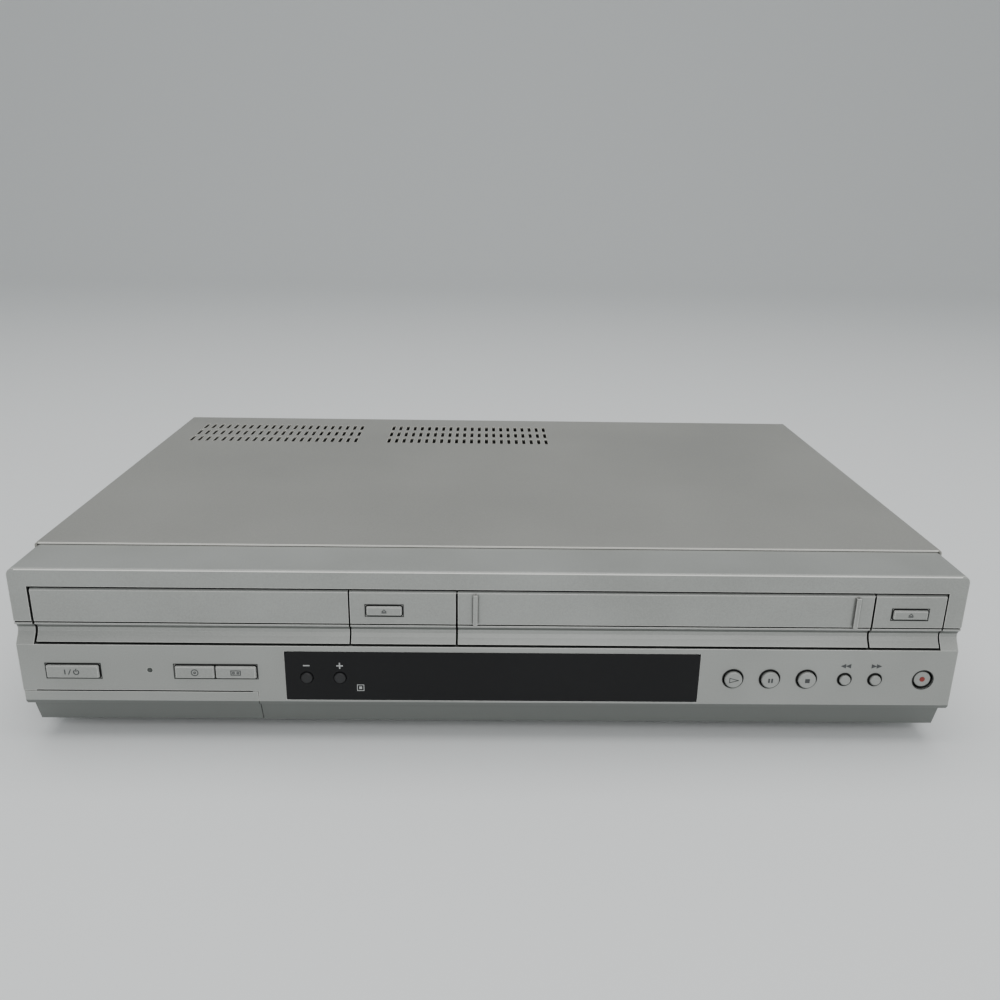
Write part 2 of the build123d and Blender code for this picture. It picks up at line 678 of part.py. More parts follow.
with BuildPart() as loading_belt:
    belt_low = pulley_low + 0.8
    belt_high = pulley_high - 0.8
    big = pulley_radius - 1.1
    small = motor_pulley - 0.7
    reach = abs(pinion_x - motor_x)
    lean = math.asin((big - small) / reach)
    with BuildSketch(Plane.XY.offset(belt_low)) as belt:
        with BuildLine():
            for side in (1, -1):
                Line(
                    (motor_x - (small + 1) * math.sin(lean), gear_y + side * (small + 1) * math.cos(lean)),
                    (pinion_x - (big + 1) * math.sin(lean), gear_y + side * (big + 1) * math.cos(lean)),
                )
            ThreePointArc(
                (pinion_x - (big + 1) * math.sin(lean), gear_y + (big + 1) * math.cos(lean)),
                (pinion_x + big + 1, gear_y),
                (pinion_x - (big + 1) * math.sin(lean), gear_y - (big + 1) * math.cos(lean)),
            )
            ThreePointArc(
                (motor_x - (small + 1) * math.sin(lean), gear_y + (small + 1) * math.cos(lean)),
                (motor_x - small - 1, gear_y),
                (motor_x - (small + 1) * math.sin(lean), gear_y - (small + 1) * math.cos(lean)),
            )
        make_face()
        offset(amount=-0.9, mode=Mode.SUBTRACT)
    extrude(belt.sketch, amount=belt_high - belt_low)

with BuildPart() as loading_motor:
    post(motor_x, gear_y, 31, loader_deck - 0.1, 11)
    post(motor_x, gear_y, loader_deck - 2, pulley_high, 1)
    post(motor_x, gear_y, pulley_low, pulley_low + 0.7, motor_pulley + 0.4)
    post(motor_x, gear_y, pulley_high - 0.7, pulley_high, motor_pulley + 0.4)
    post(motor_x, gear_y, pulley_low, pulley_high, small - 0.05)

with BuildPart() as loader_frame:
    inner = loader_half - 2
    # Floor and side walls of the rear part, front deck, and the walls beside it.
    block(disc_x - loader_half, disc_x + loader_half, front + 46, loader_back, loader_floor, loader_floor + 1.5)
    block(disc_x - loader_half, disc_x + loader_half, front + 19, front + 48, loader_deck, loader_deck + 1.5)
    block(disc_x - loader_half, disc_x + loader_half, front + 44.5, front + 46, loader_floor, loader_deck + 1.5)
    for side in (-1, 1):
        outer_x = disc_x + side * loader_half
        inner_x = disc_x + side * inner
        low_x = min(outer_x, inner_x)
        high_x = max(outer_x, inner_x)
        block(low_x, high_x, front + 46, loader_back, loader_floor, loader_top)
        block(low_x, high_x, front + 19, front + 46, loader_deck, loader_top)
        # Ledges under and over the edge of the tray.
        ledge_x = disc_x + side * (tray_half - 4)
        block(min(ledge_x, inner_x), max(ledge_x, inner_x), front + 19, loader_back, tray_under - 2.3,
              tray_under - 0.2)
        lip_x = disc_x + side * (tray_half - 1.8)
        block(min(lip_x, inner_x), max(lip_x, inner_x), front + 19, loader_back, tray_over + 0.2, tray_over + 1.8)
    block(disc_x - loader_half, disc_x + loader_half, loader_back - 2, loader_back, loader_floor, loader_top)
    # Window in the floor, and bores for the two shafts and the motor shaft.
    block(disc_x - 40, disc_x + 40, front + 62, front + 160, loader_floor - 1, loader_floor + 3, Mode.SUBTRACT)
    post(gear_x, gear_y, loader_deck - 1, loader_deck + 3, 1.5 + play, Mode.SUBTRACT)
    post(pinion_x, gear_y, loader_deck - 1, loader_deck + 3, 1.5 + play, Mode.SUBTRACT)
    post(motor_x, gear_y, loader_deck - 1, loader_deck + 3, 2, Mode.SUBTRACT)
    # Blocks with the bores for the pivot of the traverse.
    for side in (-1, 1):
        x = disc_x + side * 50
        block(x - 2.5, x + 2.5, hinge_y - 4, hinge_y + 4, loader_floor, hinge_z + 4)
        rod_along_x(x - 3, x + 3, hinge_y, hinge_z, 2 + play, Mode.SUBTRACT)

# Everything on the traverse is drawn level about its pivot, on a plane that leans down to the front.
lift = math.radians(lift_angle)
traverse_plane = Plane(origin=(disc_x, hinge_y, hinge_z), x_dir=(1, 0, 0), z_dir=(0, -math.sin(lift), math.cos(lift)))
motor_high = 12.0
seat = 19.9

with BuildPart(traverse_plane) as traverse_frame:
    block(-45, 45, -spindle_reach - 26, 4, -2, 0)
    block(screw_x - 4, rod_x + 6, -72.5, -4, -3, 1, Mode.SUBTRACT)
    post(0, -spindle_reach, -3, 1, 10, Mode.SUBTRACT)
    rod_along_x(-52, 52, 0, 0, 2)
    block(-45, 45, -3, 3, -2, 1.5)
    for x in (-rod_x, rod_x):
        block(x - 3, x + 3, -76, -72.5, -2, 7)
        block(x - 3, x + 3, -4.5, 0, -2, 7)
        rod_along_y(x, -80, 2, 4, rod_radius, Mode.SUBTRACT)
    block(screw_x - 3, screw_x + 3, -76, -72.5, -2, 7)
    rod_along_y(screw_x, -78, -70, 4, 0.8 + play, Mode.SUBTRACT)
    block(screw_x - 7, screw_x + 3, -4.5, 0, -2, 11)

with BuildPart(traverse_plane) as guide_rods:
    for x in (-rod_x, rod_x):
        rod_along_y(x, -76, -0.5, 4, rod_radius)

with BuildPart(traverse_plane) as traverse_motors:
    post(0, -spindle_reach, 0, motor_high, 13)
    post(0, -spindle_reach, -5, 0, 9)
    post(0, -spindle_reach, 2, motor_high + 1, 1.5 + play, Mode.SUBTRACT)
    rod_along_y(screw_x, -14, -4.5, 5, 6)
    rod_along_y(screw_x, -15, -10, 4, 0.9, Mode.SUBTRACT)

with BuildPart(traverse_plane) as feed_screw:
    rod_along_y(screw_x, -72.2, -14.3, 4, 1.5)
    rod_along_y(screw_x, -75, -72, 4, 0.8)
    rod_along_y(screw_x, -14.4, -10.5, 4, 0.8)

with BuildPart(traverse_plane) as optical_pickup:
    block(-20, 28, -71, -42, 1, 11)
    block(screw_x + rod_radius + 0.3, -20, -62, -50, 1.2, 7)
    rod_along_y(rod_x, -80, -30, 4, rod_radius + play, Mode.SUBTRACT)
    rod_along_y(-rod_x, -80, -30, 4, rod_radius + play, Mode.SUBTRACT)
    block(-15, 15, -68, -46, 10, 13)
    post(0, -63, 12, 17.5, 4)

with BuildPart(traverse_plane) as turntable:
    post(0, -spindle_reach, seat - 2.5, seat, 15)
    post(0, -spindle_reach, motor_high + gap, seat - 1, 6)
    post(0, -spindle_reach, 3, motor_high + 1, 1.5)
    with Locations((0, -spindle_reach, seat + 1.25)):
        Cone(7.4, 5.6, 2.5)

clamp_low = 70.1
with BuildPart() as clamp_bridge:
    block(disc_x - loader_half, disc_x + loader_half, disc_y - 24, disc_y + 24, loader_top, loader_top + 1.5)
    post(disc_x, disc_y, loader_top - 1, loader_top + 3, 12.5, Mode.SUBTRACT)

with BuildPart() as disc_clamp:
    post(disc_x, disc_y, clamp_low, loader_top + 3, 12)
    post(disc_x, disc_y, loader_top + 1.7, loader_top + 4, 16)
    post(disc_x, disc_y, clamp_low - 1, clamp_low + 3, 8.5, Mode.SUBTRACT)

# ---- tape deck
basket_left = tape_x - basket_half
basket_right = tape_x + basket_half
basket_back = basket_front + basket_deep
carriage_left = basket_left - 0.7
carriage_right = basket_right + 0.7
bracket_left = tape_x - bracket_half
bracket_right = tape_x + bracket_half
pin_y_places = (basket_front + 20, basket_front + 76)
carriage_pin_z = 60.0
basket_pin_z = 70.0

with BuildPart() as deck_frame:
    block(deck_left, deck_right, deck_front, deck_back, deck_top - deck_thick, deck_top)
    for x0, side in ((bracket_left - 1.2, -1), (bracket_right, 1)):
        block(x0, x0 + 1.2, deck_front + 2, front + 168, deck_top, 80)
        for y in pin_y_places:
            block(x0 - 1, x0 + 3, y - 2.2, y + basket_in + 2.2, carriage_pin_z - 2.2, carriage_pin_z + 2.2,
                  Mode.SUBTRACT)
    for x in (tape_x - reel_offset, tape_x + reel_offset):
        post(x, reel_y, deck_top - 3, deck_top + 1, 2 + play, Mode.SUBTRACT)
    post(capstan_x, capstan_y, deck_top - 3, deck_top + 1, 3, Mode.SUBTRACT)
    # Collar that carries the capstan, and the pin of the pinch arm.
    post(capstan_x, capstan_y, deck_top - deck_thick, deck_top + 4.3, 4)
    post(capstan_x, capstan_y, deck_top - 3, deck_top + 12, 2 + play, Mode.SUBTRACT)
    post(pivot_x, pivot_y, deck_top, deck_top + 9, 2)

with BuildPart() as holder_carriage:
    for x0 in (carriage_left - 1, carriage_right):
        block(x0, x0 + 1, basket_front + 4, basket_front + 96, 52, 82)
        for y in pin_y_places:
            block(x0 - 1, x0 + 3, y + 8 - 1.7, y + 8 + 1.7, basket_pin_z - basket_down - 1.7, basket_pin_z + 1.7,
                  Mode.SUBTRACT)
    block(carriage_left - 1, carriage_right + 1, basket_front + 30, basket_front + 46, 81, 82)
    for y in pin_y_places:
        rod_along_x(bracket_left - 2, carriage_left - 0.5, y, carriage_pin_z, 2)
        rod_along_x(carriage_right + 0.5, bracket_right + 2, y, carriage_pin_z, 2)

with BuildPart() as cassette_holder:
    block(basket_left, basket_right, basket_front, basket_back, basket_roof, basket_roof + 1)
    for x0, lip_x in ((basket_left, basket_left), (basket_right - 1, basket_right - 13)):
        block(x0, x0 + 1, basket_front, basket_back, basket_floor - 1, basket_roof + 1)
        block(lip_x, lip_x + 13, basket_front, basket_back, basket_floor - 1, basket_floor)
    block(tape_x - 40, tape_x + 40, basket_front + 12, basket_back - 14, basket_roof - 1, basket_roof + 2,
          Mode.SUBTRACT)
    for y in pin_y_places:
        rod_along_x(carriage_left - 0.9, basket_left + 0.5, y + 8, basket_pin_z, 1.5)
        rod_along_x(basket_right - 0.5, carriage_right + 0.9, y + 8, basket_pin_z, 1.5)


def reel(x):
    post(x, reel_y, deck_top + gap, deck_top + 3, 15)
    post(x, reel_y, deck_top - 3, deck_top + 2, 2)
    post(x, reel_y, deck_top + 2, deck_top + 16, 5)
    for turn in range(6):
        angle = math.radians(60 * turn)
        post(x + 5.4 * math.cos(angle), reel_y + 5.4 * math.sin(angle), deck_top + 2, deck_top + 14, 1.2)


with BuildPart() as supply_reel:
    reel(tape_x - reel_offset)

with BuildPart() as take_up_reel:
    reel(tape_x + reel_offset)

drum_plane = Plane(
    origin=(tape_x, drum_y, 40.0),
    x_dir=(1, 0, 0),
    z_dir=(0, math.sin(math.radians(drum_tilt)), math.cos(math.radians(drum_tilt))),
)
with BuildPart() as lower_drum:
    post(tape_x, drum_y, deck_top, 36, 24)
    with Locations(drum_plane.location):
        with Locations((0, 0, -5)):
            Cylinder(drum_radius, 10)
        Cylinder(2.5 + play, 60, mode=Mode.SUBTRACT)

with BuildPart(drum_plane) as upper_drum:
    post(0, 0, gap, 14, drum_radius)
    post(0, 0, 9, 15, drum_radius - 4, Mode.SUBTRACT)
    post(0, 0, 8, 13, 9)
    post(0, 0, -11, 1, 2.5)

with BuildPart() as capstan:
    post(capstan_x, capstan_y, 16.6, 48, 2)
    post(capstan_x, capstan_y, 16.6, 21, 24)

with BuildPart() as capstan_motor:
    post(capstan_x, capstan_y, 11, 16, 27)
    for turn in range(3):
        angle = math.radians(90 + 120 * turn)
        post(capstan_x + 28 * math.cos(angle), capstan_y + 28 * math.sin(angle), 11, deck_top - deck_thick, 3)

with BuildPart() as pinch_arm:
    arm_angle = math.degrees(math.atan2(arm_y - pivot_y, arm_x - pivot_x))
    arm_length = math.hypot(arm_y - pivot_y, arm_x - pivot_x)
    with Locations(Location((pivot_x, pivot_y, deck_top + 3), (0, 0, arm_angle))):
        with Locations((arm_length / 2, 0, 0)):
            Box(arm_length, 6, 3)
    post(pivot_x, pivot_y, deck_top + gap, deck_top + 7, 4.5)
    post(arm_x, arm_y, deck_top + 1.5, deck_top + 4.5, 3.5)
    post(pivot_x, pivot_y, deck_top, deck_top + 12, 2 + play, Mode.SUBTRACT)
    post(arm_x, arm_y, deck_top + 2, deck_top + 23, 1.5)

with BuildPart() as pinch_roller:
    post(arm_x, arm_y, deck_top + 5, deck_top + 21, 6.5)
    post(arm_x, arm_y, deck_top + 4, deck_top + 22, 1.5 + play, Mode.SUBTRACT)

with BuildPart() as tape_guides:
    for step, y in ((-26.8, 169), (27.2, 169), (-54.8, 172), (39.2, 196)):
        x = tape_x + step
        post(x, front + y, deck_top, deck_top + 20, 1.6)
        post(x, front + y, deck_top, deck_top + 6, 3)
        post(x, front + y, deck_top + 18, deck_top + 21, 3)
    for step in (-46.8, 42.2):
        block(tape_x + step, tape_x + step + 10, front + 166, front + 176, deck_top, deck_top + 20)

pieces = {
    "front_bezel": front_bezel,
    "eject_panels": eject_panels,
    "tray_front": tray_front,
    "cassette_door": cassette_door,
    "jack_door": jack_door,
    "display_window": display_window,
    "indicator_lamp": indicator_lamp,
    "push_switches": push_switches,
    "front_board": front_board,
    "display_module": display_module,
    "front_jacks": front_jacks,
    "bottom_chassis": bottom_chassis,
    "top_cover": top_cover,
    "cover_screws": cover_screws,
    "rear_panel": rear_panel,
    "feet": feet,
    "rear_av_jacks": rear_av_jacks,
    "tuner_box": tuner_box,
    "mains_inlet": mains_inlet,
    "power_transformer": power_transformer,
    "main_board": main_board,
    "disc_tray": disc_tray,
    "tray_gear": tray_gear,
    "drive_pulley": drive_pulley,
    "loading_belt": loading_belt,
    "loading_motor": loading_motor,
    "loader_frame": loader_frame,
    "traverse_frame": traverse_frame,
    "guide_rods": guide_rods,
    "traverse_motors": traverse_motors,
    "feed_screw": feed_screw,
    "optical_pickup": optical_pickup,
    "turntable": turntable,
    "clamp_bridge": clamp_bridge,
    "disc_clamp": disc_clamp,
    "deck_frame": deck_frame,
    "holder_carriage": holder_carriage,
    "cassette_holder": cassette_holder,
    "supply_reel": supply_reel,
    "take_up_reel": take_up_reel,
    "lower_drum": lower_drum,
    "upper_drum": upper_drum,
    "capstan": capstan,
    "capstan_motor": capstan_motor,
    "pinch_arm": pinch_arm,
    "pinch_roller": pinch_roller,
    "tape_guides": tape_guides,
}
for name, piece in pieces.items():
    save(piece, name)
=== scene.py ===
import json
import math
import bpy
import bmesh
from mathutils import Matrix, Vector


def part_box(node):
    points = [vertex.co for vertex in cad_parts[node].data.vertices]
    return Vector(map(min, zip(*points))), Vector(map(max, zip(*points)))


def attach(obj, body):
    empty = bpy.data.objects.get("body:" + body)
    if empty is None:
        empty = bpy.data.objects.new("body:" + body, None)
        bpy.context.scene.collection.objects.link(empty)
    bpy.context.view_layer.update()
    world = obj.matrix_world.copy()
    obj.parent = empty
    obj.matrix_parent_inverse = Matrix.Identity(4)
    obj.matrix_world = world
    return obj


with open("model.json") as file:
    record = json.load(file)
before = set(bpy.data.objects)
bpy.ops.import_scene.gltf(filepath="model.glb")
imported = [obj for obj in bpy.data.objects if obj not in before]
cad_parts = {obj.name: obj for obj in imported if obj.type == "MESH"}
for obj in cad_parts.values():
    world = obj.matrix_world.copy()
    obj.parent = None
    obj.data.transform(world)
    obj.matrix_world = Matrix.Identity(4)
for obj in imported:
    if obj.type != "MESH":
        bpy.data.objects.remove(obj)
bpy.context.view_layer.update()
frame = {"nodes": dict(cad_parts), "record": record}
mm = 0.001
print("frame loaded:", len(frame["nodes"]), "nodes")

# The camera stands in front of the player and looks down on it, as a phone held over a table does.
camera = {
    "place": (-4.5, -519.4, 249.4),
    "yaw": -1.098,
    "pitch": -18.758,
    "roll": -0.937,
    "focalPixels": 924.0,
    "framePixels": 1000.0,
    "sensorMm": 36.0,
}


def addCamera(look):
    data = bpy.data.cameras.new("photoCamera")
    data.sensor_width = look["sensorMm"]
    data.lens = look["sensorMm"] * look["focalPixels"] / look["framePixels"]
    data.clip_start = 0.02
    turn = Matrix.Rotation(math.radians(look["yaw"]), 3, "Z")
    turn = turn @ Matrix.Rotation(math.radians(look["pitch"]), 3, "X")
    turn = turn @ Matrix.Rotation(math.radians(look["roll"]), 3, "Y")
    turn = turn @ Matrix.Rotation(math.radians(90), 3, "X")  # from looking down to looking along +Y
    obj = bpy.data.objects.new("photoCamera", data)
    obj.matrix_world = Matrix.Translation(Vector(look["place"]) * mm) @ turn.to_4x4()
    bpy.context.collection.objects.link(obj)
    bpy.context.scene.camera = obj


addCamera(camera)
print("camera placed")


def hexColour(code):
    values = [int(code[i:i + 2], 16) / 255 for i in (1, 3, 5)]
    linear = [v / 12.92 if v <= 0.04045 else ((v + 0.055) / 1.055) ** 2.4 for v in values]
    return (linear[0], linear[1], linear[2], 1.0)


def addNode(tree, kind, settings=None, links=None):
    node = tree.nodes.new(kind)
    for key, value in (settings or {}).items():
        if isinstance(key, str) and hasattr(node, key):
            setattr(node, key, value)
        else:
            node.inputs[key].default_value = value
    for key, (source, output) in (links or {}).items():
        tree.links.new(source.outputs[output], node.inputs[key])
    return node


def newMaterial(name):
    material = bpy.data.materials.new(name)
    material.use_nodes = True
    material.node_tree.nodes.clear()
    return material, material.node_tree


# Silver-lacquered ABS, moulded: fine metal flake beneath a satin lacquer. Painted highlight: edges are drawn
# pale where the rounded and the flat normal differ. Painted shade: faces turned down are drawn darker, and
# gaps between pieces darker deeper in.
silverAbs = {
    "edge": "#EEEEE9", "edgeHighlightShare": 0.95, "under": "#6B6E6B",
    "gapShade": "#171817", "gapShadeMm": 2.0, "gapShadeShare": 0.95,
    "dark": "#929490", "light": "#A2A4A1", "metallic": 0.25, "rough": 0.42, "roughSpread": 0.06,
    "grainMm": 0.5,  # flake is finer than this, and is drawn as coarse as it needs to show
    "driftMm": 60, "bumpMm": 0.012, "edgeMm": 0.45,
}
# Baked paint on rolled steel: warmer and flatter than the front, with a fine orange-peel skin and a painted
# highlight along its edges, where light catches them.
coverPaint = {
    "edge": "#EAE7DC", "edgeHighlightShare": 0.9,
    "dark": "#898985", "light": "#959590", "metallic": 0.15, "rough": 0.5, "roughSpread": 0.05,
    "grainMm": 0.9, "driftMm": 110, "bumpMm": 0.015, "edgeMm": 0.6, "scuff": "#6E6D68", "scuffMm": 34,
}
# Smoked acrylic, polished: almost black, with a sharp soft-box reflection.
smokedAcrylic = {
    "dark": "#0A0A0C", "light": "#0F0F11", "metallic": 0.0, "rough": 0.16, "roughSpread": 0.03, "ior": 1.32,
    "grainMm": 2.0, "driftMm": 50, "bumpMm": 0.0, "edgeMm": 0.5,
}
# Black ABS, spark-eroded mould: even matt black.
blackAbs = {
    "dark": "#141415", "light": "#1D1D1F", "metallic": 0.0, "rough": 0.5, "roughSpread": 0.08,
    "grainMm": 0.6, "driftMm": 30, "bumpMm": 0.02, "edgeMm": 0.3,
}
# Zinc-plated steel sheet, rolled: grey with a faint straw tint and long rolling lines.
zincSheet = {
    "dark": "#8F9291", "light": "#B4B5AE", "metallic": 0.9, "rough": 0.36, "roughSpread": 0.12,
    "grainMm": 0.5, "driftMm": 22, "bumpMm": 0.006, "edgeMm": 0.2, "stretch": (1.0, 0.06, 1.0),
}
# Turned steel: bright, with fine rings from the tool.
turnedSteel = {
    "dark": "#9A9B9C", "light": "#C6C7C8", "metallic": 1.0, "rough": 0.25, "roughSpread": 0.1,
    "grainMm": 0.4, "driftMm": 8, "bumpMm": 0.005, "edgeMm": 0.2, "stretch": (1.0, 1.0, 0.1),
}
# Diamond-turned aluminium alloy: pale, and nearly mirror-smooth round the drum.
turnedAlloy = {
    "dark": "#C2C4C6", "light": "#DADCDD", "metallic": 1.0, "rough": 0.2, "roughSpread": 0.08,
    "grainMm": 0.35, "driftMm": 14, "bumpMm": 0.003, "edgeMm": 0.25, "stretch": (0.1, 0.1, 1.0),
}
# Nickel-plated brass, pressed.
nickelPlate = {
    "dark": "#B4AFA3", "light": "#D2CFC4", "metallic": 1.0, "rough": 0.22, "roughSpread": 0.08,
    "grainMm": 0.5, "driftMm": 6, "bumpMm": 0.003, "edgeMm": 0.15,
}
# Acetal, moulded: waxy off-white for gears.
whiteAcetal = {
    "dark": "#D4D2C6", "light": "#E4E2D8", "metallic": 0.0, "rough": 0.4, "roughSpread": 0.05,
    "grainMm": 0.8, "driftMm": 10, "bumpMm": 0.004, "edgeMm": 0.15,
}
# Neoprene, ground: dull black.
groundRubber = {
    "dark": "#101010", "light": "#1A1A19", "metallic": 0.0, "rough": 0.82, "roughSpread": 0.08,
    "grainMm": 0.3, "driftMm": 8, "bumpMm": 0.03, "edgeMm": 0.2,
}
# Lacquered iron laminations with a paper-taped winding.
lacqueredIron = {
    "dark": "#2E2A20", "light": "#5B4C2C", "metallic": 0.3, "rough": 0.45, "roughSpread": 0.12,
    "grainMm": 0.7, "driftMm": 7, "bumpMm": 0.05, "edgeMm": 0.3, "stretch": (0.1, 1.0, 1.0),
}
# Glass envelope of a fluorescent display: grey-green, polished.
displayGlass = {
    "dark": "#16211F", "light": "#22302D", "metallic": 0.0, "rough": 0.08, "roughSpread": 0.02,
    "grainMm": 1.5, "driftMm": 12, "bumpMm": 0.0, "edgeMm": 0.3,
}
# Tinted polystyrene lens of the lamp, unlit.
lampLens = {
    "dark": "#2E322F", "light": "#464B47", "metallic": 0.0, "rough": 0.2, "roughSpread": 0.02,
    "grainMm": 1.0, "driftMm": 4, "bumpMm": 0.0, "edgeMm": 0.2,
}
# Screen-printed ink: flat, and a little darker than it looks against silver.
greyInk = {
    "dark": "#3A3C3D", "light": "#46484A", "metallic": 0.0, "rough": 0.6, "roughSpread": 0.02,
    "grainMm": 0.4, "driftMm": 5, "bumpMm": 0.0, "edgeMm": 0.05,
}
paleInk = dict(greyInk, dark="#9FA1A0", light="#B0B2B1")
# Painted highlight: pale ink for the lines where light catches the front edges.
edgeHighlightInk = dict(greyInk, dark="#EFEEE7", light="#F6F5F0", rough=0.35)
# Painted shade: dark ink for the shadow in the slots round the buttons.
slotShadeInk = dict(greyInk, dark="#1B1C1B", light="#242524")
redInk = dict(greyInk, dark="#7E2722", light="#8E302A")
yellowAbs = dict(blackAbs, dark="#B78F13", light="#C89D1B")
whiteAbs = dict(blackAbs, dark="#C4C4C0", light="#D6D6D2")
redAbs = dict(blackAbs, dark="#8E1B1A", light="#A12322")


def grainedMaterial(name, look):
    # Two patterns share the colour: a slow drift over the piece and a fine grain.
    material, tree = newMaterial(name)
    place = addNode(tree, "ShaderNodeTexCoord")
    stretched = addNode(tree, "ShaderNodeMapping", {"Scale": look.get("stretch", (1, 1, 1))},
                        {"Vector": (place, "Object")})
    drift = addNode(tree, "ShaderNodeTexNoise", {"Scale": 1000 / look["driftMm"], "Detail": 2.0},
                    {"Vector": (place, "Object")})
    grain = addNode(tree, "ShaderNodeTexNoise", {"Scale": 1000 / look["grainMm"], "Detail": 3.0},
                    {"Vector": (stretched, "Vector")})
    both = addNode(tree, "ShaderNodeMath", {"operation": "ADD"}, {0: (drift, "Fac"), 1: (grain, "Fac")})
    half = addNode(tree, "ShaderNodeMath", {"operation": "MULTIPLY", 1: 0.5}, {0: (both, 0)})
    tint = addNode(tree, "ShaderNodeValToRGB", None, {"Fac": (half, 0)})
    tint.color_ramp.elements[0].position = 0.36
    tint.color_ramp.elements[1].position = 0.64
    tint.color_ramp.elements[0].color = hexColour(look["dark"])
    tint.color_ramp.elements[1].color = hexColour(look["light"])
    colour = (tint, "Color")
    edge = addNode(tree, "ShaderNodeBevel", {"samples": 6, "Radius": look["edgeMm"] * mm})
    if "edge" in look:  # painted highlight: pale where the rounded and the flat normal differ
        flat = addNode(tree, "ShaderNodeNewGeometry")
        same = addNode(tree, "ShaderNodeVectorMath", {"operation": "DOT_PRODUCT"},
                       {0: (edge, 0), 1: (flat, "Normal")})
        bare = addNode(tree, "ShaderNodeMapRange", {"From Min": 0.99, "From Max": 0.92,
                                                    "To Max": look["edgeHighlightShare"]}, {"Value": (same, "Value")})
        pale = addNode(tree, "ShaderNodeMix", {"data_type": "RGBA", 7: hexColour(look["edge"])},
                       {0: (bare, 0), 6: colour})
        colour = (pale, 2)
    # Painted shade: faces turned down are drawn darker.
    if "under" in look:
        facing = addNode(tree, "ShaderNodeSeparateXYZ", None, {"Vector": (place, "Normal")})
        down = addNode(tree, "ShaderNodeMapRange", {"From Min": -0.1, "From Max": -0.28},
                       {"Value": (facing, "Z")})
        shadedDown = addNode(tree, "ShaderNodeMix", {"data_type": "RGBA", 7: hexColour(look["under"])},
                       {0: (down, 0), 6: colour})
        colour = (shadedDown, 2)
    if "gapShade" in look:  # painted shade: dark where neighbours stand close
        closed = addNode(tree, "ShaderNodeAmbientOcclusion",
                         {"samples": 6, "Distance": look["gapShadeMm"] * mm})
        depth = addNode(tree, "ShaderNodeMapRange", {"From Min": 0.84, "From Max": 0.5,
                                                     "To Max": look["gapShadeShare"]}, {"Value": (closed, "AO")})
        gapShaded = addNode(tree, "ShaderNodeMix", {"data_type": "RGBA", 7: hexColour(look["gapShade"])},
                        {0: (depth, 0), 6: colour})
        colour = (gapShaded, 2)
    if "scuff" in look:  # a few faint rubbed patches
        rubbed = addNode(tree, "ShaderNodeMapping", {"Scale": (1.0, 0.35, 1.0), "Rotation": (0, 0, 0.5)},
                         {"Vector": (place, "Object")})
        marks = addNode(tree, "ShaderNodeTexNoise", {"Scale": 1000 / look["scuffMm"], "Detail": 5.0,
                                                     "Roughness": 0.7}, {"Vector": (rubbed, "Vector")})
        mask = addNode(tree, "ShaderNodeMapRange", {"From Min": 0.69, "From Max": 0.76, "To Max": 0.4},
                       {"Value": (marks, "Fac")})
        worn = addNode(tree, "ShaderNodeMix", {"data_type": "RGBA", 7: hexColour(look["scuff"])},
                       {0: (mask, 0), 6: colour})
        colour = (worn, 2)
    rough = addNode(tree, "ShaderNodeMapRange", {"To Min": look["rough"] - look["roughSpread"],
                                                 "To Max": look["rough"] + look["roughSpread"]},
                    {"Value": (grain, "Fac")})
    shader = addNode(tree, "ShaderNodeBsdfPrincipled", {"Metallic": look["metallic"],
                                                        "IOR": look.get("ior", 1.5)},
                     {"Base Color": colour, "Roughness": (rough, 0)})
    if look["bumpMm"] > 0:
        skin = addNode(tree, "ShaderNodeBump", {"Strength": 0.5, "Distance": look["bumpMm"] * mm},
                       {"Height": (grain, "Fac"), "Normal": (edge, 0)})
        tree.links.new(skin.outputs[0], shader.inputs["Normal"])
    else:
        tree.links.new(edge.outputs[0], shader.inputs["Normal"])
    addNode(tree, "ShaderNodeOutputMaterial", None, {"Surface": (shader, 0)})
    return material


# Solder-masked epoxy board: green lacquer over copper tracks, drawn 1.6 mm apart so that they show.
boardLacquer = {"green": "#1E4A2C", "track": "#3A7045", "trackMm": 1.6, "rough": 0.35}


def boardMaterial(name, look):
    material, tree = newMaterial(name)
    place = addNode(tree, "ShaderNodeTexCoord")
    tracks = addNode(tree, "ShaderNodeTexBrick", {
        "Color1": hexColour(look["green"]), "Color2": hexColour(look["green"]),
        "Mortar": hexColour(look["track"]), "Scale": 1000 / look["trackMm"] / 4,
        "Mortar Size": 0.06, "Brick Width": 1.7, "Row Height": 0.5}, {"Vector": (place, "Object")})
    shader = addNode(tree, "ShaderNodeBsdfPrincipled", {"Roughness": look["rough"], "IOR": 1.5},
                     {"Base Color": (tracks, "Color")})
    addNode(tree, "ShaderNodeOutputMaterial", None, {"Surface": (shader, 0)})
    return material


finishes = {
    "silver_plastic": grainedMaterial("silverLacqueredAbs", silverAbs),
    "painted_steel": grainedMaterial("bakedCoverPaint", coverPaint),
    "window_plastic": grainedMaterial("smokedAcrylic", smokedAcrylic),
    "black_plastic": grainedMaterial("blackAbs", blackAbs),
    "lamp_lens": grainedMaterial("tintedLens", lampLens),
    "zinc_steel": grainedMaterial("zincPlatedSheet", zincSheet),
    "steel": grainedMaterial("turnedSteel", turnedSteel),
    "foot_plastic": grainedMaterial("footPolystyrene", dict(blackAbs, rough=0.62)),
    "circuit_board": boardMaterial("solderMaskedEpoxy", boardLacquer),
    "display_glass": grainedMaterial("displayGlass", displayGlass),
    "jack_metal": grainedMaterial("nickelPlatedBrass", nickelPlate),
    "transformer_core": grainedMaterial("lacqueredLaminations", lacqueredIron),
    "tray_plastic": grainedMaterial("traySatinAbs", dict(blackAbs, rough=0.42)),
    "gear_plastic": grainedMaterial("whiteAcetal", whiteAcetal),
    "belt_rubber": grainedMaterial("groundRubber", groundRubber),
    "pickup_plastic": grainedMaterial("pickupAbs", dict(blackAbs, rough=0.36)),
    "drum_alloy": grainedMaterial("turnedAlloy", turnedAlloy),
}
